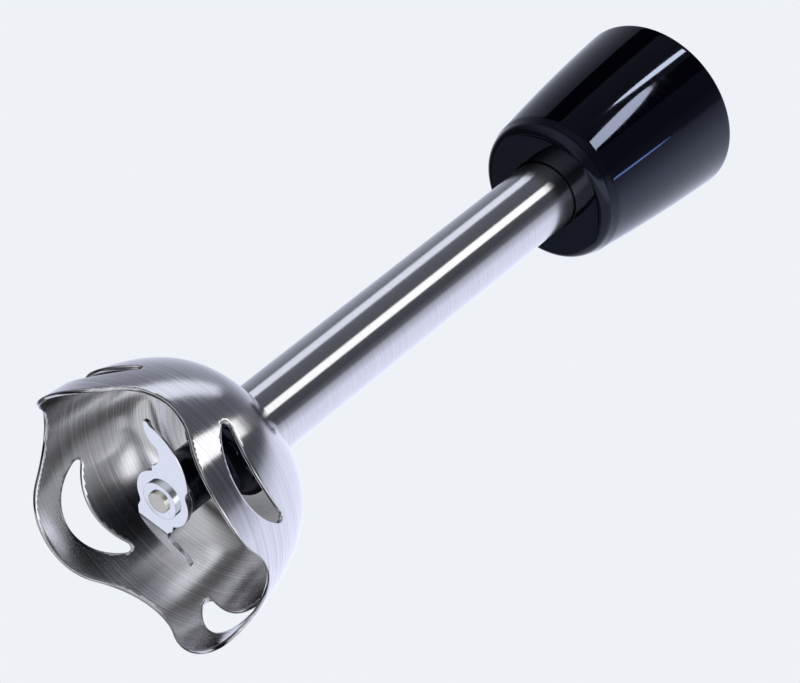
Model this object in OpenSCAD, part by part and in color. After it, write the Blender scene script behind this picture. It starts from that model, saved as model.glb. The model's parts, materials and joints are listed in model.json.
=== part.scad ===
// Detachable blending foot of an immersion blender.
// +Z runs up the drive shaft. Z = 0 is the plane of the four lobe tips that the bell stands on.

/* [Bell guard] */
// Outer radius of the bell at its rim
bell_rim_r = 35.1; // [32:0.1:38]
// Height of the bell from the lobe tips to its flat crown
bell_h = 35.2; // [34:0.1:38]
// Thickness of the steel sheet of the bell
bell_wall = 1.0; // [0.8:0.1:1.2]
// How much the wall draws in for each millimetre of height
bell_taper = 0.074; // [0.05:0.001:0.1]
// Height at which the wall starts to curve over to the crown
bell_curve_z = 6.2; // [5:0.1:8]
// Number of lobes, valleys and slots round the rim
lobes = 4; // [4]
// Depth of the valleys between the lobes
valley_h = 8.6; // [6:0.1:10]

/* [Bell slots] */
// Height of the lowest point of a slot's lower edge
slot_low_z = 7.0; // [6.5:0.1:8]
// Height of the lowest point of a slot's upper edge
slot_high_z = 14.1; // [13:0.1:15]
// Radius of a slot's lower edge
slot_low_r = 14.7; // [14:0.1:16]
// Radius of a slot's upper edge
slot_high_r = 26; // [24:0.5:30]
// Radius of the rounded ends of a slot
slot_end_r = 1.35; // [1:0.05:1.5]

/* [Shaft tube] */
// Outer radius of the tube
tube_r = 9.5; // [9.3:0.1:9.8]
// Thickness of the tube's wall
tube_wall = 0.8; // [0.6:0.1:0.9]
// Width of the lip turned out at the top of the tube
tube_lip_w = 2.5; // [2:0.1:2.6]

/* [Coupling cover] */
// Height of the cover's small end face
cover_low_z = 163.2; // [160:0.1:166]
// Height of the cover's open top
cover_top_z = 214.3; // [213:0.1:216]
// Radius of the cover at its small end
cover_low_r = 19.9; // [19.5:0.1:20.5]
// Radius of the cover at its open top
cover_top_r = 25.15; // [25:0.05:26]
// How far the side of the cover bows out at mid height
cover_bow = 0.5; // [0.3:0.1:0.8]
// Thickness of the cover's side wall
cover_wall = 1.8; // [1.6:0.1:1.9]
// Thickness of the cover's end plate
cover_plate_h = 2.5; // [2:0.1:2.6]
// Radius of the round edge of the cover's small end
cover_edge_r = 2.4; // [2:0.1:2.8]

/* [Coupling socket] */
// Radius of the bore that takes the plug of the motor handle
socket_bore_r = 20.5; // [20.2:0.1:20.6]
// Height of the shoulder that the plug stops on
socket_step_z = 200; // [199.8:0.1:201]
// Radius of the socket below that shoulder
socket_pocket_r = 18.6; // [18.5:0.1:18.8]
// Width of each latch window
latch_w = 10; // [8:1:12]
// Height of each latch window
latch_h = 5; // [4:0.5:6]

/* [Blade] */
// Height of the flat underside of the blade
blade_z = 11.4; // [10.5:0.05:12]
// Thickness of the blade
blade_t = 1.2; // [1:0.1:1.3]
// Angle that the raised wing is bent up by
wing_bend = 19; // [15:1:30]
// Distance of the bend line from the shaft axis
bend_r = 10; // [9.8:0.1:10.5]
// Direction of the bend line's normal
bend_dir = 139.8; // [135:0.1:145]
// Radius of the wings' convex edge
edge_r = 14.3; // [14:0.1:15]
// Radius of the hollow between each wing and the hub
hollow_r = 4.0; // [3.8:0.1:4.2]
// Radius of the round hub
hub_r = 7.75; // [7.5:0.05:8]

/* [Drive shaft] */
// Radius of the steel drive shaft
shaft_r = 2.5; // [2.4:0.1:2.6]
// Radius of the spigot that carries the blade
spigot_r = 2.0; // [1.8:0.1:2.1]
// Radius of the riveted head under the blade
rivet_r = 2.9; // [2.6:0.1:3.2]
// Height of the top of the shaft
shaft_top_z = 197.5; // [197:0.1:198]
// Radial clearance of the shaft in its bushings
running_gap = 0.05; // [0.03:0.01:0.08]

/* [Bearing boss] */
// Radius of the slim part of the boss inside the bell
boss_r = 6.9; // [6.7:0.1:7.2]
// Height of the lower end of the boss
boss_low_z = 14.6; // [14.5:0.05:15]
// Height at which the boss starts to flare out to the crown
boss_flare_z = 27.5; // [26:0.1:29]
// Radius of the boss at the crown
boss_flange_r = 13; // [12:0.1:14]

/* [Driven coupling] */
// Number of teeth on the driven coupling
teeth = 6; // [6]
// Radius over the teeth
teeth_r = 7.5; // [7:0.1:8]
// Width of a tooth
tooth_w = 2.4; // [2:0.1:2.8]

/* [Hidden] */
$fn = 96;
eps = 0.01;

// Colours
steel = "silver";
polished = "gainsboro";
gloss_black = "black";
matte_black = "dimgray";
bronze = "peru";
soft_rubber = "darkslategray";
nylon = "ivory";

// Bell: the wall is a superellipse between these two powers
bell_power_z = 1.65;
bell_power_r = 4.12;
bell_steps = 18;
crown_z = bell_h - bell_wall;
lobe_half_w = bell_rim_r * sin(180 / lobes);
wave_r = (pow(lobe_half_w, 2) + pow(valley_h, 2)) / (4 * valley_h);

// Tube
bore_r = tube_r - tube_wall;
lip_z = 185;
lip_r = tube_r + tube_lip_w;
lip_top_z = lip_z + tube_wall;

// Coupling end
plate_top_z = cover_low_z + cover_plate_h;
seal_ring_h = 2.8;
sleeve_z = plate_top_z + seal_ring_h;
sleeve_r = 12.5;
web_h = 2.5;
skirt_z = 178;
fit_gap = 0.15;
screw_pcd_r = 15.3;
screw_count = 3;
screw_r = 1.5;
screw_head_r = 2.8;
screw_head_h = 2;
screw_z = 177;
screw_boss_r = 3;
screw_boss_z = 174;
flange_h = 2.5;
flange_top_z = lip_top_z + flange_h;
latch_z = socket_step_z + 4;

// Bearings and seals
lower_bush_r = 4.6;
lower_bush_z = 19.4;
lower_bush_h = 12.6;
upper_bush_r = 5;
upper_bush_z = 172;
bush_flange_r = 6.5;
bush_flange_h = 0.8;
seal_r = 5.2;
seal_z = 15.1;
seal_h = 4;
seal_case_w = 1.4;
spring_cord_r = 0.22;
retainer_r = 5.6;
retainer_hole_r = 3;
boss_seat_z = crown_z - 0.15;
spigot_top_z = 48;
ring_cord_r = 0.9;
housing_ring_z = 41;
carrier_z = 168;
carrier_ring_z = 176;
guide_z = 108;
guide_h = 10;
play = 0.1;

// Blade train
blade_top_z = blade_z + blade_t;
washer_r = 5.0;
washer_h = 0.95;
rivet_h = 0.8;
rivet_edge = 0.25;
spacer_r = 7.2;
spacer_top_z = 14.0;
thrust_h = 0.45;
clip_z = flange_top_z + bush_flange_h + play + thrust_h + 0.15;
clip_h = 0.8;
clip_groove_r = 2.0;
clip_r = 4.6;
coupling_z = 191.2;
coupling_top_z = 199.4;
pin_z = 194.6;
pin_r = 1;

function arc(centre, r, from, to, n) =
    [for (i = [0:n]) let (a = from + (to - from) * i / n) centre + r * [cos(a), sin(a)]];

function half_turn(points) = [for (p = points) -p];

// Bell wall from its straight skirt to the crown, moved in by d
function bell_side(d) = concat(
    [[bell_rim_r - d, 0]],
    [for (i = [0:bell_steps])
        let (a = 90 * i / bell_steps,
             up = pow(sin(a), 2 / bell_power_z),
             out = pow(cos(a), 2 / bell_power_r),
             z = bell_curve_z + (bell_h - d - bell_curve_z) * up)
        [tube_r + (bell_rim_r - bell_taper * z - d - tube_r) * out, z]]);

// Radius of the cover's bowed side at height z
function cover_r(z) =
    let (u = (z - cover_low_z) / (cover_top_z - cover_low_z))
    cover_low_r + (cover_top_r - cover_low_r) * u + 4 * cover_bow * u * (1 - u);

function cover_side(z0, z1, d, n = 12) =
    [for (i = [0:n]) let (z = z0 + (z1 - z0) * i / n) [cover_r(z) - d, z]];

// A flat ring, from height z
module ring(outer_r, inner_r, h, z) {
    translate([0, 0, z])
        difference() {
            cylinder(r = outer_r, h = h);
            translate([0, 0, -1]) cylinder(r = inner_r, h = h + 2);
        }
}

// Side view of the space below one valley of the rim: a round crest between two round lobes
module valley_2d() {
    difference() {
        polygon([[-lobe_half_w, -5], [lobe_half_w, -5], [lobe_half_w, 0],
                 [lobe_half_w / 2, valley_h / 2], [-lobe_half_w / 2, valley_h / 2], [-lobe_half_w, 0]]);
        for (side = [-1, 1])
            translate([side * lobe_half_w, wave_r]) circle(r = wave_r);
    }
    translate([0, valley_h - wave_r]) circle(r = wave_r);
}

// Side view of a slot: a crescent that sags in the middle, with round ends that touch both edges
function slot_outline() =
    let (low_c = slot_low_z + slot_low_r,
         high_c = slot_high_z + slot_high_r,
         d_low = slot_low_r - slot_end_r,
         d_high = slot_high_r + slot_end_r,
         end_z = ((d_high * d_high - d_low * d_low) / (low_c - high_c) + low_c + high_c) / 2,
         end_x = sqrt(d_low * d_low - pow(end_z - low_c, 2)),
         low_a = atan2(end_x, low_c - end_z),
         high_a = atan2(end_x, high_c - end_z))
    concat(
        arc([0, low_c], slot_low_r, -90 - low_a, -90 + low_a, 16),
        arc([end_x, end_z], slot_end_r, -90 + low_a + 22, 90 + high_a - 22, 5),
        arc([0, high_c], slot_high_r, -90 + high_a, -90 - high_a, 10),
        arc([-end_x, end_z], slot_end_r, 90 - high_a + 22, 270 - low_a - 22, 5));

// Drives a side view outwards from the axis in the direction dir
module radial(dir, from, length) {
    rotate([0, 0, dir])
        translate([from, 0, 0])
        rotate([90, 0, 90])
        linear_extrude(length) children();
}

module bell_guard() {
    color(steel)
    difference() {
        rotate_extrude()
            polygon(concat(bell_side(0), [for (i = [bell_steps + 1:-1:0]) bell_side(bell_wall)[i]]));
        for (i = [0:lobes - 1]) {
            radial((i + 0.5) * 360 / lobes, 15, bell_rim_r) valley_2d();
            radial(i * 360 / lobes, 20, bell_rim_r) polygon(slot_outline());
        }
    }
}

module shaft_tube() {
    color(steel) {
        ring(tube_r, bore_r, lip_top_z - crown_z, crown_z);
        ring(lip_r, tube_r - eps, tube_wall, lip_z);
    }
}

module coupling_cover() {
    hole_r = tube_r + 0.4;
    edge_c = [cover_r(cover_low_z) - cover_edge_r, cover_low_z + cover_edge_r];
    color(gloss_black)
    rotate_extrude()
        polygon(concat(
            [[hole_r, plate_top_z], [hole_r, cover_low_z]],
            arc(edge_c, cover_edge_r, -90, -6, 6),
            cover_side(cover_low_z + cover_edge_r, cover_top_z, 0),
            cover_side(cover_top_z, plate_top_z, cover_wall)));
}

module coupling_socket() {
    shell = cover_wall + fit_gap;
    color(matte_black)
    difference() {
        union() {
            // Wall that lines the cover, with its stepped bore
            rotate_extrude()
                polygon(concat(
                    cover_side(skirt_z, cover_top_z - 0.5, shell),
                    [[socket_bore_r, cover_top_z - 0.5], [socket_bore_r, socket_step_z],
                     [socket_pocket_r, socket_step_z], [socket_pocket_r, lip_z],
                     [socket_pocket_r - 0.4, lip_z], [socket_pocket_r - 0.4, skirt_z]]));
            // Web and sleeve that hold the tube
            ring(socket_pocket_r + eps, tube_r, web_h, lip_z - web_h);
            ring(sleeve_r, tube_r, lip_z - sleeve_z, sleeve_z);
            for (i = [0:screw_count - 1])
                rotate([0, 0, i * 360 / screw_count])
                    translate([screw_pcd_r, 0, screw_boss_z])
                    cylinder(r = screw_boss_r, h = lip_top_z - screw_boss_z);
            // Ribs between the screw bosses
            for (i = [0:screw_count - 1])
                rotate([0, 0, (i + 0.5) * 360 / screw_count])
                    translate([sleeve_r - 0.5, -0.8, skirt_z])
                    cube([socket_pocket_r - sleeve_r + 0.4, 1.6, lip_z - web_h - skirt_z + eps]);
        }
        for (i = [0:screw_count - 1])
            rotate([0, 0, i * 360 / screw_count])
                translate([screw_pcd_r, 0, screw_z]) cylinder(r = screw_r, h = 20);
        for (side = [0, 180])
            rotate([0, 0, side + 90])
                translate([socket_bore_r - 2, -latch_w / 2, latch_z]) cube([8, latch_w, latch_h]);
    }
}

module tube_seal_ring() {
    color(soft_rubber) ring(sleeve_r + 1, tube_r, seal_ring_h, plate_top_z);
}

module bearing_housing() {
    color(gloss_black)
    rotate_extrude()
        polygon([
            [retainer_r, boss_low_z], [boss_r - 0.4, boss_low_z], [boss_r, boss_low_z + 0.4],
            [boss_r, boss_flare_z], [boss_r + 1.1, boss_flare_z + 2.4],
            [boss_r + 3, boss_flare_z + 4.3], [boss_flange_r, boss_flare_z + 5.7],
            [boss_flange_r, boss_seat_z], [bore_r, boss_seat_z], [bore_r, housing_ring_z - ring_cord_r],
            [bore_r - ring_cord_r * 2, housing_ring_z - ring_cord_r],
            [bore_r - ring_cord_r * 2, housing_ring_z + ring_cord_r],
            [bore_r, housing_ring_z + ring_cord_r], [bore_r, spigot_top_z],
            [retainer_hole_r, spigot_top_z], [retainer_hole_r, lower_bush_z + lower_bush_h],
            [lower_bush_r, lower_bush_z + lower_bush_h], [lower_bush_r, seal_z + seal_h],
            [seal_r, seal_z + seal_h], [seal_r, seal_z], [retainer_r, seal_z]]);
}

// A rubber ring of round cord
module cord_ring(outer_r, cord_r, z) {
    translate([0, 0, z])
        rotate_extrude() translate([outer_r - cord_r, 0]) circle(r = cord_r, $fn = 32);
}

module housing_o_ring() {
    color(soft_rubber) cord_ring(bore_r, ring_cord_r, housing_ring_z);
}

module lower_bushing() {
    color(bronze) ring(lower_bush_r, shaft_r + running_gap, lower_bush_h, lower_bush_z);
}

module shaft_seal() {
    bore = shaft_r + running_gap;
    lip = bore + 0.65;
    color(soft_rubber)
    translate([0, 0, seal_z])
    rotate_extrude()
        polygon([[bore, 0.6], [bore + 0.4, 0], [seal_r, 0], [seal_r, seal_h], [seal_r - seal_case_w, seal_h],
                 [seal_r - seal_case_w, 1], [lip, 1], [lip, 3], [bore + 0.4, 3]]);
}

module seal_spring() {
    color(steel) cord_ring(seal_r - seal_case_w - 0.05, spring_cord_r, seal_z + 2);
}

module seal_retainer() {
    color(steel) ring(retainer_r, retainer_hole_r, seal_z - boss_low_z, boss_low_z);
}

module shaft_guide() {
    guide_hub_r = 4.4;
    color(nylon) {
        ring(guide_hub_r, shaft_r + running_gap, guide_h, guide_z);
        ring(bore_r, bore_r - 1.4, guide_h, guide_z);
        for (i = [0:2])
            rotate([0, 0, i * 120])
                translate([guide_hub_r - 0.3, -0.8, guide_z]) cube([bore_r - 1 - guide_hub_r, 1.6, guide_h]);
    }
}

module upper_bearing_carrier() {
    color(matte_black)
    difference() {
        rotate_extrude()
            polygon([
                [retainer_hole_r, carrier_z], [bore_r, carrier_z], [bore_r, carrier_ring_z - ring_cord_r],
                [bore_r - ring_cord_r * 2, carrier_ring_z - ring_cord_r],
                [bore_r - ring_cord_r * 2, carrier_ring_z + ring_cord_r],
                [bore_r, carrier_ring_z + ring_cord_r], [bore_r, lip_top_z],
                [socket_pocket_r - 0.3, lip_top_z], [socket_pocket_r - 0.3, flange_top_z],
                [upper_bush_r, flange_top_z], [upper_bush_r, upper_bush_z], [retainer_hole_r, upper_bush_z]]);
        for (i = [0:screw_count - 1])
            rotate([0, 0, i * 360 / screw_count])
                translate([screw_pcd_r, 0, lip_top_z - 1]) cylinder(r = screw_r, h = flange_h + 2);
    }
}

module carrier_o_ring() {
    color(soft_rubber) cord_ring(bore_r, ring_cord_r, carrier_ring_z);
}

module upper_bushing() {
    inner_r = shaft_r + running_gap;
    color(bronze)
    rotate_extrude()
        polygon([[inner_r, upper_bush_z], [upper_bush_r, upper_bush_z], [upper_bush_r, flange_top_z],
                 [bush_flange_r, flange_top_z], [bush_flange_r, flange_top_z + bush_flange_h],
                 [inner_r, flange_top_z + bush_flange_h]]);
}

// One pan-head screw with a cross slot, head down at z = 0
module pan_screw() {
    difference() {
        union() {
            translate([0, 0, screw_z - flange_top_z]) cylinder(r = screw_r, h = flange_top_z - screw_z);
            cylinder(r = screw_head_r, h = screw_head_h * 0.6);
            translate([0, 0, screw_head_h * 0.6])
                cylinder(r1 = screw_head_r, r2 = screw_head_r * 0.7, h = screw_head_h * 0.4);
        }
        for (turn = [0, 90])
            rotate([0, 0, turn]) translate([-1.6, -0.3, screw_head_h - 0.9]) cube([3.2, 0.6, 1]);
    }
}

module carrier_screws() {
    color(steel)
    for (i = [0:screw_count - 1])
        rotate([0, 0, i * 360 / screw_count])
            translate([screw_pcd_r, 0, flange_top_z]) pan_screw();
}

module drive_shaft() {
    head_z = blade_z - washer_h;
    color(polished)
    difference() {
        union() {
            translate([0, 0, blade_top_z]) cylinder(r = shaft_r, h = shaft_top_z - blade_top_z);
            translate([0, 0, head_z - eps]) cylinder(r = spigot_r, h = blade_top_z - head_z + 2 * eps);
            // Riveted head with a broken edge
            translate([0, 0, head_z - rivet_h + rivet_edge]) cylinder(r = rivet_r, h = rivet_h - rivet_edge);
            translate([0, 0, head_z - rivet_h]) cylinder(r1 = rivet_r - rivet_edge, r2 = rivet_r, h = rivet_edge);
        }
        ring(shaft_r + 1, clip_groove_r, clip_h, clip_z);
        translate([0, 0, pin_z]) rotate([0, 90, 0]) cylinder(r = pin_r, h = 20, center = true);
    }
}

// Plan view of one wing and half of the hub: convex edge, tip, back edge, hollow, hub, notch
function half_blade() = concat(
    arc([-1.1, -9.2], edge_r, 40, -36, 14),
    [[10.35, -18.7], [9.45, -19.75]],
    arc([13.3, -15.3], 5.85, 216, 152, 6),
    arc([4.2, -12.6], hollow_r, 0, 96, 7),
    arc([0, 0], hub_r, -78, -166, 8),
    [[-8.2, -0.85]]);

module blade_2d() {
    difference() {
        polygon(concat(half_blade(), half_turn(half_blade())));
        circle(r = spigot_r);
    }
}

// Half of the plane, beyond the bend line or before it, in the bend's own direction
module beyond_bend(sign) {
    rotate([0, 0, bend_dir])
        translate([bend_r + (sign > 0 ? 0 : -60), -30])
        square([60, 60]);
}

module blade() {
    color(polished) {
        translate([0, 0, blade_z])
            linear_extrude(blade_t) intersection() { blade_2d(); beyond_bend(-1); }
        // Outside of the bend
        intersection() {
            translate([0, 0, blade_z - 1]) linear_extrude(blade_t + 1) blade_2d();
            rotate([0, 0, bend_dir])
                translate([bend_r, 0, blade_top_z])
                rotate([90, 0, 0]) cylinder(r = blade_t, h = 60, center = true);
        }
        // Raised wing
        rotate([0, 0, bend_dir])
            translate([bend_r, 0, blade_top_z])
            rotate([0, -wing_bend, 0])
            translate([-bend_r, 0, -blade_t])
            rotate([0, 0, -bend_dir])
            linear_extrude(blade_t) intersection() { blade_2d(); beyond_bend(1); }
    }
}

module hub_washer() {
    color(steel) ring(washer_r, spigot_r, washer_h, blade_z - washer_h);
}

module blade_spacer() {
    color(polished) ring(spacer_r, shaft_r, spacer_top_z - blade_top_z, blade_top_z);
}

module lower_thrust_washer() {
    color(nylon) ring(lower_bush_r, shaft_r, thrust_h, spacer_top_z);
}

module upper_thrust_washer() {
    color(nylon) ring(bush_flange_r - 0.9, shaft_r, clip_z - flange_top_z - bush_flange_h - play,
                      flange_top_z + bush_flange_h + play);
}

module retaining_ring() {
    color(steel)
    difference() {
        ring(clip_r, clip_groove_r, clip_h, clip_z);
        translate([0, -clip_groove_r * 0.8, clip_z - 1]) cube([clip_r + 1, clip_groove_r * 1.6, clip_h + 2]);
    }
}

module driven_coupling() {
    core_r = 5.2;
    tip_h = 1.2;
    color(matte_black)
    difference() {
        union() {
            translate([0, 0, coupling_z]) cylinder(r = core_r, h = coupling_top_z - coupling_z - tip_h);
            translate([0, 0, coupling_top_z - tip_h]) cylinder(r1 = core_r, r2 = core_r - 1.2, h = tip_h);
            intersection() {
                for (i = [0:teeth - 1])
                    rotate([0, 0, (i + 0.5) * 360 / teeth])
                        translate([core_r - 1, -tooth_w / 2, coupling_z])
                        cube([teeth_r - core_r + 1, tooth_w, coupling_top_z - coupling_z - tip_h - 0.4]);
                translate([0, 0, coupling_z]) cylinder(r = teeth_r, h = 20);
            }
        }
        translate([0, 0, coupling_z - 1]) cylinder(r = shaft_r, h = shaft_top_z - coupling_z + 1);
        translate([0, 0, pin_z]) rotate([0, 90, 0]) cylinder(r = pin_r, h = 20, center = true);
    }
}

module coupling_pin() {
    color(steel) translate([0, 0, pin_z]) rotate([0, 90, 0]) cylinder(r = pin_r, h = 10, center = true);
}

bell_guard();
shaft_tube();
coupling_cover();
coupling_socket();
tube_seal_ring();
bearing_housing();
housing_o_ring();
lower_bushing();
shaft_seal();
seal_spring();
seal_retainer();
shaft_guide();
upper_bearing_carrier();
carrier_o_ring();
upper_bushing();
carrier_screws();
drive_shaft();
blade();
hub_washer();
blade_spacer();
lower_thrust_washer();
upper_thrust_washer();
retaining_ring();
driven_coupling();
coupling_pin();
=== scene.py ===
"""Looks of the blending foot: bell, blade, tube and coupling collar, under soft studio light."""
import json
import math

import bmesh
import bpy
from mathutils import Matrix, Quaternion, Vector, geometry


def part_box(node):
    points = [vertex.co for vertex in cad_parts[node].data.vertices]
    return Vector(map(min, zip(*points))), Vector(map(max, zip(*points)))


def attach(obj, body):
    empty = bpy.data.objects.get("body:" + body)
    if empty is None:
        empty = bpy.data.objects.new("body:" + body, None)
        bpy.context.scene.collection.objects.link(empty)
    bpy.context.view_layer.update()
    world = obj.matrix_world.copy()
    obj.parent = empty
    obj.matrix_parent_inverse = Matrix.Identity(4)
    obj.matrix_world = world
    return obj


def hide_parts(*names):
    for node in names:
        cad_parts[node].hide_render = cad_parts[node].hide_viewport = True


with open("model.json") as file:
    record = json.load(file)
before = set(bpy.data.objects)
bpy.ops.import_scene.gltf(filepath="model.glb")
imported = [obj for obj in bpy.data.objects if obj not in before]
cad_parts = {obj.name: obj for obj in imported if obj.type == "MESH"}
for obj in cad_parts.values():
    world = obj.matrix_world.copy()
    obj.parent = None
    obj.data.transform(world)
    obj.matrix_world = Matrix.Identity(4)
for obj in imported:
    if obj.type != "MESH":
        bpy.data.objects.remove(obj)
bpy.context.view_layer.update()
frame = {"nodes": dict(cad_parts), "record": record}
MM = 0.001


# ---------------------------------------------------------------- sizes taken from the frame

def top(node):
    """Highest point of a CAD node."""
    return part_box(node)[1].z


def bottom(node):
    """Lowest point of a CAD node."""
    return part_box(node)[0].z


RIM_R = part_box("bell_guard")[1].x
CROWN_Z = top("bell_guard")
TUBE_R = 9.5 * MM
TUBE_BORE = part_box("housing_o_ring")[1].x
COVER_Z0, COVER_Z1 = bottom("coupling_cover"), top("coupling_cover")
COVER_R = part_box("coupling_cover")[1].x
BLADE_Z = bottom("blade")
BOSS_Z0, BOSS_FLANGE_R = bottom("bearing_housing"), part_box("bearing_housing")[1].x
SPACER_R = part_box("blade_spacer")[1].x


# ---------------------------------------------------------------- mesh tools

def mesh_object(name, verts, faces):
    """Closed, smooth-shaded piece with its normals outwards."""
    mesh = bpy.data.meshes.new(name)
    mesh.from_pydata([tuple(v) for v in verts], [], faces)
    mesh.validate()
    tidy = bmesh.new()
    tidy.from_mesh(mesh)
    bmesh.ops.remove_doubles(tidy, verts=tidy.verts, dist=2e-6)
    bmesh.ops.recalc_face_normals(tidy, faces=tidy.faces)
    tidy.to_mesh(mesh)
    tidy.free()
    mesh.shade_smooth()
    piece = bpy.data.objects.new(name, mesh)
    bpy.context.collection.objects.link(piece)
    return piece


def arc(cx, cy, r, start, stop, steps):
    """Points of an arc, with angles in degrees."""
    turns = [math.radians(start + (stop - start) * i / steps) for i in range(steps + 1)]
    return [(cx + r * math.cos(a), cy + r * math.sin(a)) for a in turns]


def lathe(name, profile, steps):
    """Turns a closed profile of (radius, height) points about the shaft axis."""
    verts, faces = [], []
    count = len(profile)
    for i in range(steps):
        a = 2 * math.pi * i / steps
        verts += [(r * math.cos(a), r * math.sin(a), z) for r, z in profile]
    for i in range(steps):
        j = (i + 1) % steps
        for k in range(count):
            m = (k + 1) % count
            faces.append((i * count + k, j * count + k, j * count + m, i * count + m))
    return mesh_object(name, verts, faces)


def round_corners(points, radius, steps=4):
    """Rounds the corners of a closed outline; radius is one number or one for each corner."""
    count = len(points)
    radii = radius if isinstance(radius, (list, tuple)) else [radius] * count
    out = []
    for i, corner in enumerate(points):
        p = Vector(corner)
        before, after = Vector(points[i - 1]) - p, Vector(points[(i + 1) % count]) - p
        if radii[i] <= 0 or before.length < 1e-9 or after.length < 1e-9:
            out.append(tuple(p))
            continue
        half = before.angle(after) / 2
        cut = min(radii[i] / math.tan(half), before.length * 0.49, after.length * 0.49)
        a, b = p + before.normalized() * cut, p + after.normalized() * cut
        for k in range(steps + 1):
            t = k / steps
            out.append(tuple(a * (1 - t) ** 2 + p * 2 * t * (1 - t) + b * t ** 2))
    return out


def sharpen(piece, angle=35):
    """Smooth shading that still breaks at real edges."""
    piece.data.set_sharp_from_angle(angle=math.radians(angle))


# ---------------------------------------------------------------- materials

def new_material(name):
    """Material with one principled shader."""
    mat = bpy.data.materials.new(name)
    mat.use_nodes = True
    nodes, links = mat.node_tree.nodes, mat.node_tree.links
    nodes.clear()
    out = nodes.new("ShaderNodeOutputMaterial")
    shader = nodes.new("ShaderNodeBsdfPrincipled")
    links.new(shader.outputs[0], out.inputs[0])
    return mat, nodes, links, shader


def math_node(nodes, links, operation, a, b=None):
    """One sum of two values, each a socket or a number."""
    node = nodes.new("ShaderNodeMath")
    node.operation = operation
    for socket, value in zip(node.inputs, (a, b)):
        if value is None:
            continue
        if hasattr(value, "is_linked"):
            links.new(value, socket)
        else:
            socket.default_value = value
    return node.outputs[0]


def noise(nodes, links, vector, scale, detail=3.0, rough=0.5):
    """Noise of a scale at a vector."""
    node = nodes.new("ShaderNodeTexNoise")
    node.inputs["Scale"].default_value = scale
    node.inputs["Detail"].default_value = detail
    node.inputs["Roughness"].default_value = rough
    links.new(vector, node.inputs["Vector"])
    return node.outputs["Fac"]


def to_range(nodes, links, value, low, high, from_low=0.0, from_high=1.0):
    """Value stretched from its own range to low and high."""
    node = nodes.new("ShaderNodeMapRange")
    links.new(value, node.inputs["Value"])
    numbers = {"From Min": from_low, "From Max": from_high, "To Min": low, "To Max": high}
    for name, number in numbers.items():
        node.inputs[name].default_value = number
    return node.outputs["Result"]


def bump(nodes, links, shader, height, strength, distance):
    """Relief on the shader's surface."""
    node = nodes.new("ShaderNodeBump")
    node.inputs["Strength"].default_value = strength
    node.inputs["Distance"].default_value = distance
    links.new(height, node.inputs["Height"])
    links.new(node.outputs["Normal"], shader.inputs["Normal"])


def tint(nodes, links, value, dark, light):
    """Colour between dark and light, by a value."""
    ramp = nodes.new("ShaderNodeValToRGB")
    ramp.color_ramp.elements[0].color = (*dark, 1)
    ramp.color_ramp.elements[1].color = (*light, 1)
    links.new(value, ramp.inputs["Fac"])
    return ramp.outputs["Color"]


def brushed_coordinates(nodes, links, along, across):
    """Coordinates that run fast along the profile of a turned sheet and slowly round the axis."""
    position = nodes.new("ShaderNodeTexCoord").outputs["Object"]
    split = nodes.new("ShaderNodeSeparateXYZ")
    links.new(position, split.inputs[0])
    x, y, z = split.outputs
    square = math_node(nodes, links, "ADD", math_node(nodes, links, "POWER", x, 2.0),
                       math_node(nodes, links, "POWER", y, 2.0))
    radius = math_node(nodes, links, "SQRT", square)
    profile = math_node(nodes, links, "SUBTRACT", z, radius)
    joined = nodes.new("ShaderNodeCombineXYZ")
    links.new(math_node(nodes, links, "MULTIPLY", x, along), joined.inputs[0])
    links.new(math_node(nodes, links, "MULTIPLY", y, along), joined.inputs[1])
    links.new(math_node(nodes, links, "MULTIPLY", profile, across), joined.inputs[2])
    return joined.outputs[0]


def brushed_steel(name, roughness, contrast, grain, anisotropy):
    """Stainless steel brushed round the axis: fine lines, soft wide bands and faintly worn patches."""
    mat, nodes, links, shader = new_material(name)
    fine = noise(nodes, links, brushed_coordinates(nodes, links, 9.0, grain), 1.0, 4.0, 0.7)
    bands = noise(nodes, links, brushed_coordinates(nodes, links, 5.0, grain / 4), 1.0, 2.0)
    position = nodes.new("ShaderNodeTexCoord").outputs["Object"]
    patches = noise(nodes, links, position, 30.0, 2.0)
    mixed = math_node(nodes, links, "ADD", math_node(nodes, links, "MULTIPLY", fine, 0.92),
                      math_node(nodes, links, "MULTIPLY", bands, 0.08))
    dark, light = (0.64 - contrast,) * 2 + (0.65 - contrast,), (0.64 + contrast,) * 2 + (0.66 + contrast,)
    links.new(tint(nodes, links, to_range(nodes, links, mixed, 0, 1, 0.3, 0.7), dark, light),
              shader.inputs["Base Color"])
    worn = math_node(nodes, links, "ADD", math_node(nodes, links, "MULTIPLY", mixed, 0.85),
                     math_node(nodes, links, "MULTIPLY", patches, 0.15))
    links.new(to_range(nodes, links, worn, roughness - 0.04, roughness + 0.05, 0.35, 0.65),
              shader.inputs["Roughness"])
    shader.inputs["Metallic"].default_value = 1.0
    shader.inputs["Anisotropic"].default_value = anisotropy
    shader.inputs["Anisotropic Rotation"].default_value = 0.25
    tangent = nodes.new("ShaderNodeTangent")
    tangent.direction_type = "RADIAL"
    tangent.axis = "Z"
    links.new(tangent.outputs[0], shader.inputs["Tangent"])
    bump(nodes, links, shader, fine, 0.12, 0.00002)
    return mat


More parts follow.
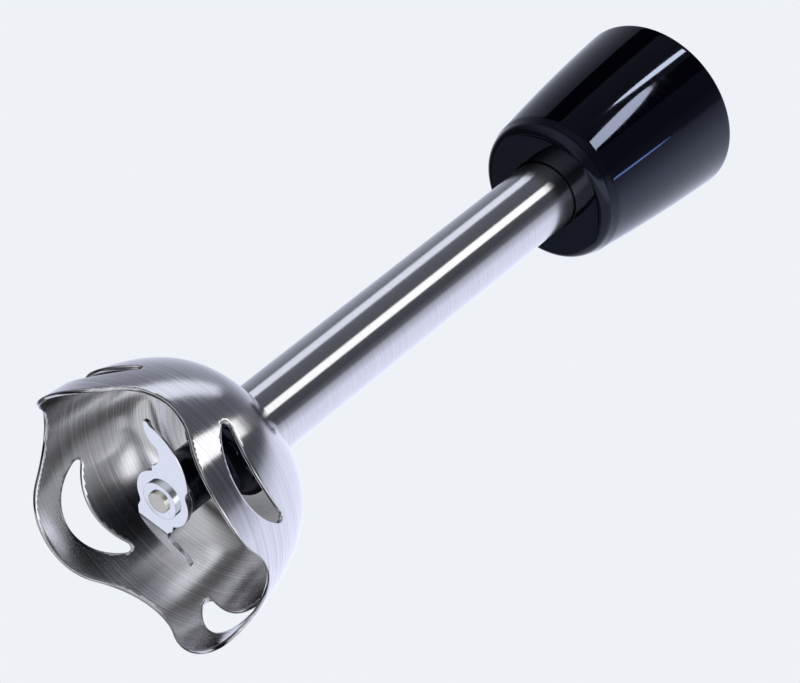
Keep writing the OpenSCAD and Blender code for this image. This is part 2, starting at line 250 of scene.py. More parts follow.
def polished_steel(name):
    """Stamped and tumbled blade steel: bright, faintly hazed, with short stray scratches."""
    mat, nodes, links, shader = new_material(name)
    position = nodes.new("ShaderNodeTexCoord").outputs["Object"]
    stretch = nodes.new("ShaderNodeMapping")
    stretch.inputs["Rotation"].default_value = (0, 0, math.radians(35))
    stretch.inputs["Scale"].default_value = (120, 2200, 400)
    links.new(position, stretch.inputs["Vector"])
    scratches = noise(nodes, links, stretch.outputs[0], 1.0, 3.0)
    haze = noise(nodes, links, position, 260.0, 3.0)
    links.new(tint(nodes, links, haze, (0.76, 0.78, 0.83), (0.84, 0.86, 0.92)), shader.inputs["Base Color"])
    mixed = math_node(nodes, links, "ADD", math_node(nodes, links, "MULTIPLY", scratches, 0.5),
                      math_node(nodes, links, "MULTIPLY", haze, 0.5))
    links.new(to_range(nodes, links, mixed, 0.09, 0.15, 0.3, 0.7), shader.inputs["Roughness"])
    shader.inputs["Metallic"].default_value = 1.0
    bump(nodes, links, shader, mixed, 0.06, 0.00001)
    return mat


def turned_steel(name, colour=(0.60, 0.58, 0.55)):
    """Lathe-turned or stamped steel of the small inner pieces."""
    mat, nodes, links, shader = new_material(name)
    rings = noise(nodes, links, brushed_coordinates(nodes, links, 40.0, 5000.0), 1.0, 3.0)
    light = tuple(min(1.0, c * 1.25) for c in colour)
    links.new(tint(nodes, links, rings, colour, light), shader.inputs["Base Color"])
    links.new(to_range(nodes, links, rings, 0.22, 0.42, 0.3, 0.7), shader.inputs["Roughness"])
    shader.inputs["Metallic"].default_value = 1.0
    bump(nodes, links, shader, rings, 0.25, 0.00003)
    return mat


def gloss_plastic(name):
    """Piano-black moulding: mirror gloss with the slightest ripple and a few faint wipe marks."""
    mat, nodes, links, shader = new_material(name)
    position = nodes.new("ShaderNodeTexCoord").outputs["Object"]
    ripple = noise(nodes, links, position, 38.0, 1.0)
    wipes = noise(nodes, links, brushed_coordinates(nodes, links, 30.0, 420.0), 1.0, 5.0, 0.7)
    links.new(tint(nodes, links, ripple, (0.0010, 0.0012, 0.0030), (0.0020, 0.0023, 0.0056)),
              shader.inputs["Base Color"])
    links.new(to_range(nodes, links, wipes, 0.035, 0.085, 0.35, 0.75), shader.inputs["Roughness"])
    shader.inputs["IOR"].default_value = 1.5
    shader.inputs["Specular IOR Level"].default_value = 0.42
    shader.inputs["Specular Tint"].default_value = (0.62, 0.70, 1.0, 1)
    bump(nodes, links, shader, ripple, 0.02, 0.0004)
    return mat


def matt_plastic(name, dark, light, rough=0.5, grain=1500.0):
    """Moulded plastic with a fine spark-eroded grain."""
    mat, nodes, links, shader = new_material(name)
    position = nodes.new("ShaderNodeTexCoord").outputs["Object"]
    pores = noise(nodes, links, position, grain, 2.0)
    clouds = noise(nodes, links, position, 60.0, 2.0)
    links.new(tint(nodes, links, clouds, dark, light), shader.inputs["Base Color"])
    links.new(to_range(nodes, links, pores, rough - 0.08, rough + 0.1, 0.3, 0.7), shader.inputs["Roughness"])
    bump(nodes, links, shader, pores, 0.25, 0.00006)
    return mat


def rubber(name):
    """Matt black rubber."""
    return matt_plastic(name, (0.010, 0.010, 0.011), (0.022, 0.022, 0.024), 0.72, 900.0)


def bronze(name):
    """Sintered bronze: porous, oil-dark in its pores."""
    mat, nodes, links, shader = new_material(name)
    position = nodes.new("ShaderNodeTexCoord").outputs["Object"]
    pores = noise(nodes, links, position, 2400.0, 2.0)
    links.new(tint(nodes, links, to_range(nodes, links, pores, 0, 1, 0.35, 0.55),
                   (0.16, 0.09, 0.04), (0.66, 0.42, 0.22)), shader.inputs["Base Color"])
    links.new(to_range(nodes, links, pores, 0.55, 0.32, 0.35, 0.6), shader.inputs["Roughness"])
    shader.inputs["Metallic"].default_value = 0.9
    bump(nodes, links, shader, pores, 0.3, 0.00005)
    return mat


STEEL = brushed_steel("brushed_steel_wall", 0.15, 0.18, 3900.0, 0.75)
TUBE_STEEL = brushed_steel("brushed_steel_tube", 0.16, 0.12, 4600.0, 0.8)
BLADE_STEEL = polished_steel("blade_steel")
PLAIN_STEEL = turned_steel("turned_steel")
SHAFT_STEEL = turned_steel("shaft_steel", (0.66, 0.64, 0.58))
GLOSS_BLACK = gloss_plastic("gloss_black_moulding")
BOSS_BLACK = gloss_plastic("boss_black")
MATT_BLACK = matt_plastic("matt_black_moulding", (0.018, 0.018, 0.020), (0.035, 0.035, 0.038))
NYLON = matt_plastic("natural_nylon", (0.66, 0.63, 0.54), (0.80, 0.78, 0.70), 0.42)
RUBBER = rubber("black_rubber")
BRONZE = bronze("sintered_bronze")


def dress(node, material):
    """Gives a CAD node that stays its finished material."""
    mesh = frame["nodes"][node].data
    mesh.materials.clear()
    mesh.materials.append(material)


def place(piece, material, node):
    """Gives a piece its material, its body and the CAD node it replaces."""
    piece.data.materials.append(material)
    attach(piece, next(b for b, members in GROUPS.items() if node in members))
    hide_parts(node)


GROUPS = frame["record"]["behaviour"]["bodies"]
for node, material in {
        "coupling_socket": MATT_BLACK, "tube_seal_ring": RUBBER, "housing_o_ring": RUBBER,
        "lower_bushing": BRONZE,
        "shaft_seal": RUBBER, "seal_spring": PLAIN_STEEL, "seal_retainer": PLAIN_STEEL, "shaft_guide": NYLON,
        "upper_bearing_carrier": MATT_BLACK, "carrier_o_ring": RUBBER, "upper_bushing": BRONZE,
        "carrier_screws": PLAIN_STEEL, "lower_thrust_washer": NYLON, "upper_thrust_washer": NYLON,
        "retaining_ring": PLAIN_STEEL, "driven_coupling": MATT_BLACK, "coupling_pin": PLAIN_STEEL,
        "drive_shaft": SHAFT_STEEL}.items():
    dress(node, material)


# ---------------------------------------------------------------- bell

BELL_WALL = 1.0 * MM
BELL_TAPER = 0.074
BELL_CURVE_Z = 6.2 * MM
BELL_POWER_Z, BELL_POWER_R = 1.65, 4.12
VALLEY_H = 8.6 * MM
LOBES = 4


def bell_profile(steps=150):
    """Outer side of the bell from below its rim to the tube, as (radius, height) points."""
    points = [(RIM_R - BELL_TAPER * z * MM, z * MM) for z in (-1.0, 0.0, 1.0, 2.0, 3.0, 4.0, 5.0)]
    for i in range(steps + 1):
        a = math.pi / 2 * i / steps
        up, out = math.sin(a) ** (2 / BELL_POWER_Z), math.cos(a) ** (2 / BELL_POWER_R)
        z = BELL_CURVE_Z + (CROWN_Z - BELL_CURVE_Z) * up
        points.append((TUBE_R + (RIM_R - BELL_TAPER * z - TUBE_R) * out, z))
    return points


class Profile:
    """A profile that can be read by its length."""

    def __init__(self, points):
        self.points = [Vector(p) for p in points]
        self.lengths = [0.0]
        for a, b in zip(self.points, self.points[1:]):
            self.lengths.append(self.lengths[-1] + (b - a).length)
        self.total = self.lengths[-1]

    def at(self, length):
        """Radius and height at a length."""
        length = min(max(length, 0.0), self.total)
        low, high = 0, len(self.lengths) - 2
        while low < high:
            middle = (low + high + 1) // 2
            low, high = (middle, high) if self.lengths[middle] <= length else (low, middle - 1)
        t = (length - self.lengths[low]) / (self.lengths[low + 1] - self.lengths[low])
        return self.points[low].lerp(self.points[low + 1], t)

    def normal(self, length):
        """Outward normal at a length."""
        step = 0.35 * MM
        d = (self.at(length + step) - self.at(length - step)).normalized()
        return Vector((d.y, -d.x))

    def length_of_height(self, z):
        """Length at which the profile first reaches a height."""
        for k, (a, b) in enumerate(zip(self.points, self.points[1:])):
            if a.y <= z <= b.y:
                return self.lengths[k] + (z - a.y) / (b.y - a.y) * (self.lengths[k + 1] - self.lengths[k])
        return self.total


def rim_height(angle):
    """Rim height at an angle from a lobe's middle, in radians: round lobes and round valleys."""
    half = RIM_R * math.sin(math.pi / LOBES)
    r = (half ** 2 + VALLEY_H ** 2) / (4 * VALLEY_H)
    side = abs(RIM_R * math.sin(math.pi / LOBES - abs(angle)))
    if side < half / 2:
        return VALLEY_H - r + math.sqrt(r * r - side * side)
    return r - math.sqrt(max(r * r - (half - side) ** 2, 0.0))


def slot_outline():
    """Side view of a slot, as (sideways, height) points: a sagging crescent with round ends."""
    low_z, high_z, low_r, high_r, end_r = 7.0 * MM, 14.1 * MM, 14.7 * MM, 26 * MM, 1.35 * MM
    low_c, high_c, d_low, d_high = low_z + low_r, high_z + high_r, low_r - end_r, high_r + end_r
    end_z = ((d_high ** 2 - d_low ** 2) / (low_c - high_c) + low_c + high_c) / 2
    end_x = math.sqrt(d_low ** 2 - (end_z - low_c) ** 2)
    low_a = math.degrees(math.atan2(end_x, low_c - end_z))
    high_a = math.degrees(math.atan2(end_x, high_c - end_z))
    outline = arc(0, low_c, low_r, -90 - low_a, -90 + low_a, 44)
    outline += arc(end_x, end_z, end_r, -90 + low_a, 90 + high_a, 12)[1:-1]
    outline += arc(0, high_c, high_r, -90 + high_a, -90 - high_a, 36)
    outline += arc(-end_x, end_z, end_r, 90 - high_a, 270 - low_a, 12)[1:-1]
    return outline


def inside(point, outline):
    """Whether a point is inside a closed outline."""
    hit = False
    for (ax, ay), (bx, by) in zip(outline, outline[1:] + outline[:1]):
        if (ay > point[1]) != (by > point[1]):
            hit ^= point[0] < ax + (point[1] - ay) / (by - ay) * (bx - ax)
    return hit


def near(point, outline, distance):
    """Whether a point is close to any point of an outline."""
    return any((point[0] - x) ** 2 + (point[1] - y) ** 2 < distance ** 2 for x, y in outline)


def middle_of(triangle, points):
    """Middle of a triangle whose corners are numbers of points."""
    return tuple(sum(points[k][c] for k in triangle) / 3 for c in (0, 1))


EDGE_STEPS = 5
EDGE_BULGE = 0.14 * MM
ROW_PITCH = 0.87
QUARTER = math.pi / LOBES


def bell():
    """Sheet-steel bell: one quarter is meshed flat, wrapped on the profile and repeated round the axis."""
    profile = Profile(bell_profile())
    columns = 72
    spread = RIM_R
    rim = []
    for i in range(columns + 1):
        a = -QUARTER + 2 * QUARTER * i / columns
        rim.append((a * spread, profile.length_of_height(rim_height(a) + EDGE_BULGE)))
    slot = []
    for side, z in slot_outline():
        length = profile.length_of_height(z)
        radius = profile.at(length).x
        slot.append((math.asin(side / radius) * spread, length))
    grown = []
    for i, p in enumerate(slot):
        d = Vector(slot[(i + 1) % len(slot)]) - Vector(slot[i - 1])
        grown.append((p[0] + d.normalized().y * EDGE_BULGE, p[1] - d.normalized().x * EDGE_BULGE))
    slot = grown
    cell = 2 * QUARTER * spread / columns
    edge_top = profile.total
    rows = int((edge_top - max(p[1] for p in rim)) / cell)
    seam_low = rim[0][1]
    seam = [seam_low + (edge_top - seam_low) * i / rows for i in range(1, rows + 1)]
    left = [(-QUARTER * spread, v) for v in seam]
    right = [(QUARTER * spread, v) for v in seam]
    top_row = [(-QUARTER * spread + cell * i, edge_top) for i in range(1, columns)]
    outer = rim + right + top_row[::-1] + left[::-1]
    points = outer + slot
    outer_ids = list(range(len(outer)))
    slot_ids = list(range(len(outer), len(outer) + len(slot)))
    for j in range(1, rows * 2):
        v = j * cell * ROW_PITCH
        if v >= edge_top - cell * 0.4:
            break
        shift = 0.5 * cell if j % 2 else 0.0
        for i in range(columns + 1):
            u = -QUARTER * spread + cell * i + shift
            p = (u, v)
            if abs(u) > QUARTER * spread - cell * 0.4:
                continue
            if v < profile.length_of_height(rim_height(u / spread) + EDGE_BULGE) + cell * 0.45:
                continue
            if near(p, slot, cell * 0.5) or inside(p, slot):
                continue
            points.append(p)
    edges = [(outer_ids[i], outer_ids[(i + 1) % len(outer_ids)]) for i in range(len(outer_ids))]
    edges += [(slot_ids[i], slot_ids[(i + 1) % len(slot_ids)]) for i in range(len(slot_ids))]
    flat, _, tris = geometry.delaunay_2d_cdt([Vector(p) for p in points], edges, [outer_ids], 0, 1e-9)[:3]
    flat = [tuple(p) for p in flat]
    tris = [t for t in tris if inside(middle_of(t, flat), outer) and not inside(middle_of(t, flat), slot)]

    def lift(u, v, turn, depth, push=(0.0, 0.0)):
        """Point of the flat sheet on the bell, at a depth in the wall and pushed along the wall."""
        p, n = profile.at(v), profile.normal(v)
        a = u / spread + turn
        r, z = p.x - n.x * depth, p.y - n.y * depth
        along = Vector((-math.sin(a), math.cos(a), 0))
        up = Vector((-n.y * math.cos(a), -n.y * math.sin(a), n.x))
        return Vector((r * math.cos(a), r * math.sin(a), z)) + along * push[0] + up * push[1]

    verts, faces = [], []

    def add(v):
        verts.append(v)
        return len(verts) - 1

    for q in range(LOBES):
        turn = 2 * QUARTER * q
        outside_ids = [add(lift(u, v, turn, 0)) for u, v in flat]
        inside_ids = [add(lift(u, v, turn, BELL_WALL)) for u, v in flat]
        faces += [tuple(outside_ids[k] for k in t) for t in tris]
        faces += [tuple(inside_ids[k] for k in reversed(t)) for t in tris]
        for chain, closed in ((rim, False), (slot, True)):
            count = len(chain)
            rows_of_edge = []
            for s in range(EDGE_STEPS + 1):
                a = math.pi * s / EDGE_STEPS
                depth = BELL_WALL * (1 - math.cos(a)) / 2
                out = EDGE_BULGE * math.sin(a) ** 0.6 if 0 < s < EDGE_STEPS else 0.0
                row = []
                for i, (u, v) in enumerate(chain):
                    before = chain[i - 1] if (closed or i > 0) else (2 * u - chain[1][0], chain[1][1])
                    after = chain[(i + 1) % count] if (closed or i < count - 1) else (
                        2 * u - chain[-2][0], chain[-2][1])
                    d = Vector((after[0] - before[0], after[1] - before[1])).normalized()
                    push = (d.y * out, -d.x * out) if not closed else (-d.y * out, d.x * out)
                    row.append(add(lift(u, v, turn, depth, push)))
                rows_of_edge.append(row)
            for a_row, b_row in zip(rows_of_edge, rows_of_edge[1:]):
                for i in range(count if closed else count - 1):
                    j = (i + 1) % count
                    faces.append((a_row[i], a_row[j], b_row[j], b_row[i]))
        crown = [(-QUARTER * spread + cell * i, edge_top) for i in range(columns + 1)]
        outs = [add(lift(u, v, turn, 0)) for u, v in crown]
        ins = [add(lift(u, v, turn, BELL_WALL)) for u, v in crown]
        faces += [(outs[i], ins[i], ins[i + 1], outs[i + 1]) for i in range(columns)]
    return mesh_object("bell_sheet", verts, faces)


piece = bell()
sharpen(piece, 50)
place(piece, STEEL, "bell_guard")


# ---------------------------------------------------------------- tube and collar

def tube():
    """Straight tube with a lip turned out at its upper end."""
    z0, z1 = bottom("shaft_tube"), top("shaft_tube")
    lip_r, lip_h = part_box("shaft_tube")[1].x, 0.8 * MM
    outline = [(TUBE_BORE, z0), (TUBE_R, z0), (TUBE_R, z1 - lip_h), (lip_r, z1 - lip_h), (lip_r, z1),
               (TUBE_BORE, z1)]
    return lathe("tube_wall", round_corners(outline, [0, 0, 0.1 * MM, 0.2 * MM, 0.2 * MM, 0]), 192)


piece = tube()
sharpen(piece)
place(piece, TUBE_STEEL, "shaft_tube")

COVER_LOW_R = 19.9 * MM
COVER_BOW = 0.5 * MM
COVER_WALL = 1.8 * MM
COVER_PLATE = 2.5 * MM


def cover_r(z):
    """Outer radius of the collar at a height: a cone with slightly bowed sides."""
    u = (z - COVER_Z0) / (COVER_Z1 - COVER_Z0)
    return COVER_LOW_R + (COVER_R - COVER_LOW_R) * u + 4 * COVER_BOW * u * (1 - u)


def cover():
    """Gloss collar: closed end with a hole for the tube, round lower edge and open top."""
    hole, edge, lip, hole_round, inner_round = TUBE_R + 0.4 * MM, 3.1 * MM, 0.45 * MM, 0.25 * MM, 0.3 * MM
    low, high = COVER_Z0 + edge, COVER_Z1 - lip
    base = cover_r(COVER_Z0)
    plate_z = COVER_Z0 + COVER_PLATE
    points = [(hole, plate_z)]
    points += arc(hole + hole_round, COVER_Z0 + hole_round, hole_round, 180, 270, 5)
    points += arc(base - edge, low, edge, -90, -6, 12)
    points += [(cover_r(low + (high - low) * i / 48), low + (high - low) * i / 48) for i in range(1, 48)]
    points += arc(cover_r(high) - lip, high, lip, 0, 90, 6)
    inner = cover_r(COVER_Z1) - COVER_WALL
    points += arc(inner + inner_round, COVER_Z1 - inner_round, inner_round, 90, 180, 4)
    points += [(cover_r(z) - COVER_WALL, z) for z in (COVER_Z1 - 12 * MM, COVER_Z1 - 26 * MM, plate_z)]
    return lathe("collar_shell", points, 192)


piece = cover()
sharpen(piece, 40)
place(piece, GLOSS_BLACK, "coupling_cover")


# ---------------------------------------------------------------- boss and hub

def boss():
    """Black boss: straight below, flared to a flange under the crown, with a spigot up the tube."""
    r, hole, low_round, seat_drop = 6.9 * MM, 3.0 * MM, 0.5 * MM, 0.15 * MM
    flare_z, crown, cap_z = 27.5 * MM, bottom("shaft_tube") - seat_drop, top("bearing_housing")
    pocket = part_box("seal_retainer")[1].x
    points = [(hole, BOSS_Z0 + low_round), (pocket, BOSS_Z0 + low_round), (pocket, BOSS_Z0)]
    points += arc(r - low_round, BOSS_Z0 + low_round, low_round, -90, 0, 6)
    points += [(r, flare_z - 2.2 * MM)]
    points += arc(BOSS_FLANGE_R, flare_z - 0.6 * MM, BOSS_FLANGE_R - r, 180, 102, 14)[1:]
    points += [(BOSS_FLANGE_R, crown), (TUBE_BORE, crown), (TUBE_BORE, cap_z), (hole, cap_z)]
    return lathe("boss_moulding", points, 144)


piece = boss()
sharpen(piece, 40)
place(piece, BOSS_BLACK, "bearing_housing")


def spacer():
    """Disc behind the blade's hub, with round edges."""
    z0, z1, hole = bottom("blade_spacer"), top("blade_spacer"), 2.5 * MM
    outline = [(hole, z0), (SPACER_R, z0), (SPACER_R, z1), (hole, z1)]
    return lathe("hub_disc", round_corners(outline, [0, 0.3 * MM, 0.3 * MM, 0]), 128)


piece = spacer()
sharpen(piece)
place(piece, BLADE_STEEL, "blade_spacer")


# ---------------------------------------------------------------- blade

BLADE_T = 1.2 * MM
BEND_R, BEND_DIR, WING_BEND = 10 * MM, math.radians(139.8), math.radians(19)
BEND_INNER_R = 1.2 * MM
# In millimetres, as the plan is drawn, and in steps along the ground edge
HUB_R, EDGE_R, HOLLOW_R = 7.75, 14.3, 4.0
BEVEL, PLAIN_BEVEL = 1.1, 0.12
BEVEL_FADE, BEVEL_LAST = 8, 5
SPIGOT_R = 2.0 * MM
BLADE_CELL = 0.55 * MM
BLADE_REACH = 24 * MM
SHEET_ROUND = 0.10 * MM


def half_blade():
    """Plan of one wing and half of the hub in millimetres, with the bevel's width at each point."""
    edge = arc(-1.1, -9.2, EDGE_R, 40, -36, 46)
    points = []
    for i, p in enumerate(edge):
        points.append((p, BEVEL * min(1.0, i / BEVEL_FADE, (len(edge) + BEVEL_LAST - i) / BEVEL_FADE)))
    tip = round_corners([(10.6, -18.2), (10.3, -18.75), (9.45, -19.75), (8.75, -19.1), (8.5, -18.6)],
                        [0, 0.8, 0.35, 0.8, 0], 5)[1:-1]
    back = arc(13.3, -15.3, 5.85, 215, 157, 12)
    hollow = arc(4.2, -12.6, HOLLOW_R, 6, 90, 18)
    hub = arc(0, 0, HUB_R, -74, -162, 34)
    notch = [(-7.62, -1.75), (-7.86, -1.28), (-8.2, -0.92), (-8.65, -0.66), (-9.2, -0.36)]
    saddle = [(3.6, -8.6), (3.0, -8.36)]
    return points + [(p, PLAIN_BEVEL) for p in tip + back + hollow + saddle + hub + notch]


def blade_outline():
    """Both halves of the blade, the second turned half round, in metres."""
    half = half_blade()
    turned = [((-x, -y), width) for (x, y), width in half]
    return [((x * MM, y * MM), width * MM) for (x, y), width in half + turned]


def bend(x, y, height):
    """Moves a point of the flat blade, at a height above its underside, to the bent blade."""
    c, s = math.cos(BEND_DIR), math.sin(BEND_DIR)
    out, side = x * c + y * s, -x * s + y * c
    length = BEND_INNER_R * WING_BEND
    beyond = out - BEND_R + length / 2
    z = BLADE_Z + height
    if beyond > 0:
        a = min(beyond / length, 1.0) * WING_BEND
        rest = max(beyond - length, 0.0)
        centre_z = BLADE_Z + BLADE_T + BEND_INNER_R
        lever = centre_z - z
        out = BEND_R - length / 2 + math.sin(a) * lever + math.cos(a) * rest
        z = centre_z - math.cos(a) * lever + math.sin(a) * rest
    return Vector((out * c - side * s, out * s + side * c, z))


def blade():
    """Stamped blade: flat underside, convex edges ground from above, one wing bent up."""
    marked = blade_outline()
    outline = [p for p, _ in marked]
    count = len(outline)

    def shrunk(amounts):
        """The outline drawn in by an amount at each point."""
        ring = []
        for i, (x, y) in enumerate(outline):
            d = (Vector(outline[(i + 1) % count]) - Vector(outline[i - 1])).normalized()
            ring.append((x + d.y * amounts[i], y - d.x * amounts[i]))
        return ring

    lower = shrunk([SHEET_ROUND] * count)
    upper = shrunk([width for _, width in marked])
    hole = arc(0, 0, SPIGOT_R, 0, 360, 40)[:-1]

    def sheet(rim):
        """Even triangles between a rim and the hole."""
        points = rim + hole
        cell = BLADE_CELL
        rows = int(BLADE_REACH / cell)
        for j in range(-rows, rows + 1):
            for i in range(-rows, rows + 1):
                p = (i * cell + (0.5 * cell if j % 2 else 0), j * cell * ROW_PITCH)
                if math.hypot(*p) > SPIGOT_R + 0.4 * MM and inside(p, rim) and not near(p, rim, cell * 0.6):
                    points = points + [p]
        edges = [(i, (i + 1) % count) for i in range(count)]
        edges += [(count + i, count + (i + 1) % len(hole)) for i in range(len(hole))]
        flat, _, tris = geometry.delaunay_2d_cdt([Vector(p) for p in points], edges, [], 0, 1e-9)[:3]
        flat = [tuple(p) for p in flat]
        kept = []
        for t in tris:
            middle = middle_of(t, flat)
            if inside(middle, rim) and math.hypot(*middle) > SPIGOT_R * 0.99:
                kept.append(t)
        return flat, kept

    verts, faces = [], []
    for rim, height in ((lower, 0.0), (upper, BLADE_T)):
        flat, tris = sheet(rim)
        start = len(verts)
        verts += [bend(*p, height) for p in flat]
        faces += [tuple(k + start for k in t) for t in tris]
    loops = []
    # A ground edge leaves the sheet thin at the outline; elsewhere the edge face stands upright
    full, least, ground = BLADE_T - PLAIN_BEVEL * MM, 0.14 * MM, 0.15 * MM
    thin = [full - 0.8 * full * min(width / (BEVEL * MM), 1.0) * (width > ground) for _, width in marked]
    for ring, heights in ((lower, [0.0] * count), (outline, [SHEET_ROUND] * count),
                          (outline, [max(h, least) for h in thin]), (upper, [BLADE_T] * count)):
        loops.append([len(verts) + i for i in range(count)])
        verts += [bend(*p, h) for p, h in zip(ring, heights)]
    for a, b in zip(loops, loops[1:]):
        faces += [(a[i], a[(i + 1) % count], b[(i + 1) % count], b[i]) for i in range(count)]
    ring = len(hole)
    low = [len(verts) + i for i in range(ring)]
    verts += [bend(*p, 0.0) for p in hole]
    high = [len(verts) + i for i in range(ring)]
    verts += [bend(*p, BLADE_T) for p in hole]
    faces += [(low[i], high[i], high[(i + 1) % ring], low[(i + 1) % ring]) for i in range(ring)]
    return mesh_object("blade_wings", verts, faces)


piece = blade()
sharpen(piece, 25)
place(piece, BLADE_STEEL, "blade")


def hub_ring():
    """Ring under the blade, with broken edges."""
    z0, z1, r = bottom("hub_washer"), top("hub_washer"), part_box("hub_washer")[1].x
    outline = [(SPIGOT_R, z0), (r, z0), (r, z1), (SPIGOT_R, z1)]
    return lathe("hub_ring", round_corners(outline, [0, 0.12 * MM, 0, 0], 4), 96)


piece = hub_ring()
sharpen(piece)
place(piece, BLADE_STEEL, "hub_washer")


# ---------------------------------------------------------------- studio

CAMERA_AT = (529.17 * MM, -140.38 * MM, -339.44 * MM)
CAMERA_TURN = (141.602, -37.568, 36.928)
LENS = 126.97
FLOOR_HALF, FLOOR_DROP = 3.0, -0.0002


def look_camera():
    """Camera below the rim, looking up the shaft, rolled so that the shaft runs to the upper right."""
    data = bpy.data.cameras.new("photo_camera")
    camera = bpy.data.objects.new("photo_camera", data)
    bpy.context.collection.objects.link(camera)
    data.lens = LENS
    data.sensor_width = 36.0
    data.dof.use_dof = False
    data.clip_start, data.clip_end = 0.01, 20.0
    camera.location = CAMERA_AT
    camera.rotation_euler = [math.radians(a) for a in CAMERA_TURN]
    bpy.context.scene.camera = camera


def azimuth_ramp(nodes, links, ring, panels, colour):
    """Ring of bright and dark panels, by the azimuth in degrees and the brightness of each."""
    ramp = nodes.new("ShaderNodeValToRGB")
    ramp.color_ramp.interpolation = "LINEAR"
    links.new(ring, ramp.inputs["Fac"])
    stops = ramp.color_ramp.elements
    while len(stops) < len(panels):
        stops.new(0.5)
    for stop, (azimuth, level) in zip(stops, panels):
        stop.position = (azimuth + 180) / 360
        stop.color = (*(level * c for c in colour), 1)
    return ramp.outputs["Color"]


def studio_world():
    """Pale backdrop for the camera; for reflections a high and a low ring of panels."""
    world = bpy.data.worlds.new("studio")
    bpy.context.scene.world = world
    world.use_nodes = True
    nodes, links = world.node_tree.nodes, world.node_tree.links
    nodes.clear()
    out = nodes.new("ShaderNodeOutputWorld")
    direction = nodes.new("ShaderNodeTexCoord").outputs["Generated"]
    split = nodes.new("ShaderNodeSeparateXYZ")
    links.new(direction, split.inputs[0])
    turn = math_node(nodes, links, "ARCTAN2", split.outputs[1], split.outputs[0])
    ring = to_range(nodes, links, turn, 0, 1, -math.pi, math.pi)
    high = azimuth_ramp(nodes, links, ring, HIGH_PANELS, (0.93, 0.96, 1.16))
    low = azimuth_ramp(nodes, links, ring, LOW_PANELS, (0.98, 0.99, 1.02))
    blend = nodes.new("ShaderNodeMix")
    blend.data_type = "RGBA"
    links.new(to_range(nodes, links, split.outputs[2], 0, 1, 0.0, 0.3), blend.inputs[0])
    links.new(low, blend.inputs[6])
    links.new(high, blend.inputs[7])
    glow = nodes.new("ShaderNodeBackground")
    links.new(blend.outputs[2], glow.inputs["Color"])
    glow.inputs["Strength"].default_value = 1.6
    plain = nodes.new("ShaderNodeBackground")
    plain.inputs["Color"].default_value = (*PALE, 1)
    path = nodes.new("ShaderNodeLightPath")
    mix = nodes.new("ShaderNodeMixShader")
    links.new(path.outputs["Is Camera Ray"], mix.inputs[0])
    links.new(glow.outputs[0], mix.inputs[1])
    links.new(plain.outputs[0], mix.inputs[2])
    links.new(mix.outputs[0], out.inputs["Surface"])


PALE = (0.855, 0.885, 0.925)
# Up high: a broad soft panel on one side that fades towards the dark front
HIGH_PANELS = [(-180, 0.5), (-150, 0.3), (-100, 0.1), (10, 0.05), (25, 0.1), (30, 0.3), (60, 0.65),
               (160, 0.75), (180, 0.5)]
# Down low: a grey panel, a narrow bright one and a broad grey one, with dark between
LOW_PANELS = [(-180, 0.05), (-130, 0.05), (-75, 0.45), (-45, 0.45), (-15, 0.1), (15, 0.15), (22, 1.0),
              (42, 1.0), (55, 0.5), (130, 0.45), (145, 0.1), (180, 0.05)]


def floor():
    """Wide pale floor, seen from above only, so that a camera below it looks through."""
    corners = ((-1, -1), (1, -1), (1, 1), (-1, 1))
    verts = [(x * FLOOR_HALF, y * FLOOR_HALF, FLOOR_DROP) for x, y in corners]
    mesh = bpy.data.meshes.new("studio_floor")
    mesh.from_pydata(verts, [], [(0, 1, 2, 3)])
    ground = bpy.data.objects.new("studio_floor", mesh)
    bpy.context.collection.objects.link(ground)
    mat, nodes, links, shader = new_material("pale_floor")
    shader.inputs["Base Color"].default_value = (0.62, 0.60, 0.54, 1)
    shader.inputs["Emission Color"].default_value = (0.53, 0.55, 0.56, 1)
    shader.inputs["Emission Strength"].default_value = 1.0
    shader.inputs["Roughness"].default_value = 0.9
    shader.inputs["Specular IOR Level"].default_value = 0.1
    clear = nodes.new("ShaderNodeBsdfTransparent")
    mix = nodes.new("ShaderNodeMixShader")
    side = nodes.new("ShaderNodeNewGeometry")
    links.new(side.outputs["Backfacing"], mix.inputs[0])
    links.new(shader.outputs[0], mix.inputs[1])
    links.new(clear.outputs[0], mix.inputs[2])
    out = next(n for n in nodes if n.type == "OUTPUT_MATERIAL")
    links.new(mix.outputs[0], out.inputs[0])
    mesh.materials.append(mat)
    for ray in ("visible_diffuse", "visible_glossy", "visible_transmission", "visible_shadow"):
        setattr(ground, ray, False)


def lit_pieces(name, names):
    """Collection of the pieces that a card or a strip lights."""
    group = bpy.data.collections.new(name)
    for piece_name in names:
        group.objects.link(bpy.data.objects[piece_name])
    return group


def towards(azimuth, elevation):
    """Direction given by an azimuth and an elevation in degrees."""
    a, e = math.radians(azimuth), math.radians(elevation)
    return Vector((math.cos(a) * math.cos(e), math.sin(a) * math.cos(e), math.sin(e)))


def card(name, centre, distance, corners, strength, lit, colour=(1, 1, 1)):
    """Flat glowing reflector card, with its corners as (azimuth, elevation) seen from the centre."""
    ways = [towards(*corner) for corner in corners]
    mesh = bpy.data.meshes.new(name)
    mesh.from_pydata([centre + way * distance for way in ways], [], [tuple(range(len(ways)))])
    piece = bpy.data.objects.new(name, mesh)
    bpy.context.collection.objects.link(piece)
    mat = bpy.data.materials.new(name)
    mat.use_nodes = True
    nodes, links = mat.node_tree.nodes, mat.node_tree.links
    nodes.clear()
    glow = nodes.new("ShaderNodeEmission")
    glow.inputs["Color"].default_value = (*colour, 1)
    glow.inputs["Strength"].default_value = strength
    links.new(glow.outputs[0], nodes.new("ShaderNodeOutputMaterial").inputs[0])
    mesh.materials.append(mat)
    piece.visible_camera = False
    piece.visible_shadow = False
    piece.light_linking.receiver_collection = lit


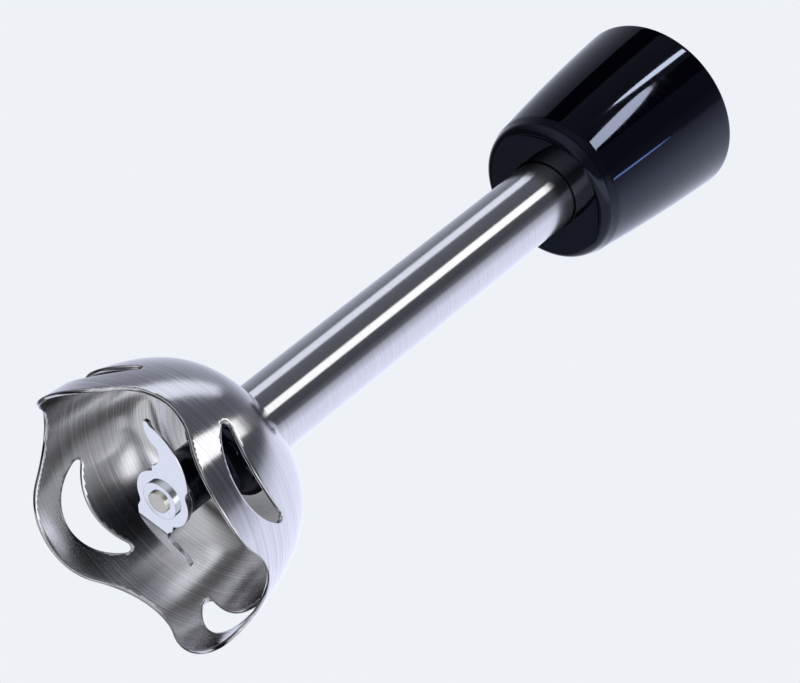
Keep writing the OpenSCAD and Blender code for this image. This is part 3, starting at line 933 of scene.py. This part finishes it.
def strip(name, centre, distance, way, size, spin, power, lit, colour=(1, 1, 1)):
    """Long oval light that faces the centre from an (azimuth, elevation) way."""
    data = bpy.data.lights.new(name, "AREA")
    data.shape = "ELLIPSE"
    data.size, data.size_y = size
    data.energy = power
    data.color = colour
    lamp = bpy.data.objects.new(name, data)
    bpy.context.collection.objects.link(lamp)
    outwards = towards(*way)
    lamp.location = centre + outwards * distance
    lamp.rotation_mode = "QUATERNION"
    lamp.rotation_quaternion = outwards.to_track_quat("Z", "Y") @ Quaternion((0, 0, 1), math.radians(spin))
    lamp.visible_camera = False
    lamp.light_linking.receiver_collection = lit


look_camera()
studio_world()
floor()
COLLAR = Vector((0, 0, 0.5 * (COVER_Z0 + COVER_Z1)))
HUB = Vector((0, 0, BLADE_Z))
collar_only = lit_pieces("collar_pieces", ["collar_shell"])
walls_only = lit_pieces("wall_pieces", ["tube_wall", "bell_sheet"])
shaft_name = frame["nodes"]["drive_shaft"].name
hub_only = lit_pieces("hub_pieces", ["blade_wings", "hub_ring", "hub_disc", "bell_sheet", shaft_name])
strip("wide_strip", COLLAR, 1.1, (-28, 29), (0.42, 0.13), -30, 1.7, collar_only)
strip("slim_strip", COLLAR, 1.1, (-47, 37), (0.22, 0.08), 68, 0.8, collar_only)
strip("blue_strip", COLLAR, 1.1, (27.2, 29), (0.20, 0.03), 100, 0.16, collar_only, (0.35, 0.5, 1.0))
card("front_card", COLLAR, 1.3, [(-36, 22), (-15, 22), (-13, 66), (-38, 66)], 1.7, walls_only)
card("side_card", COLLAR, 1.3, [(-106, 22), (-82, 22), (-80, 66), (-109, 66)], 1.2, walls_only,
     (0.93, 0.96, 1.1))
card("table_card", HUB, 0.25, [(140, -22), (190, -22), (186, -44), (144, -44)], 0.92, hub_only,
     (0.93, 0.95, 1.08))
card("face_card", COLLAR, 1.3, [(115, -26), (205, -26), (205, -62), (115, -62)], 0.26, collar_only,
     (0.85, 0.95, 1.1))
scene = bpy.context.scene
scene.view_settings.view_transform = "Standard"
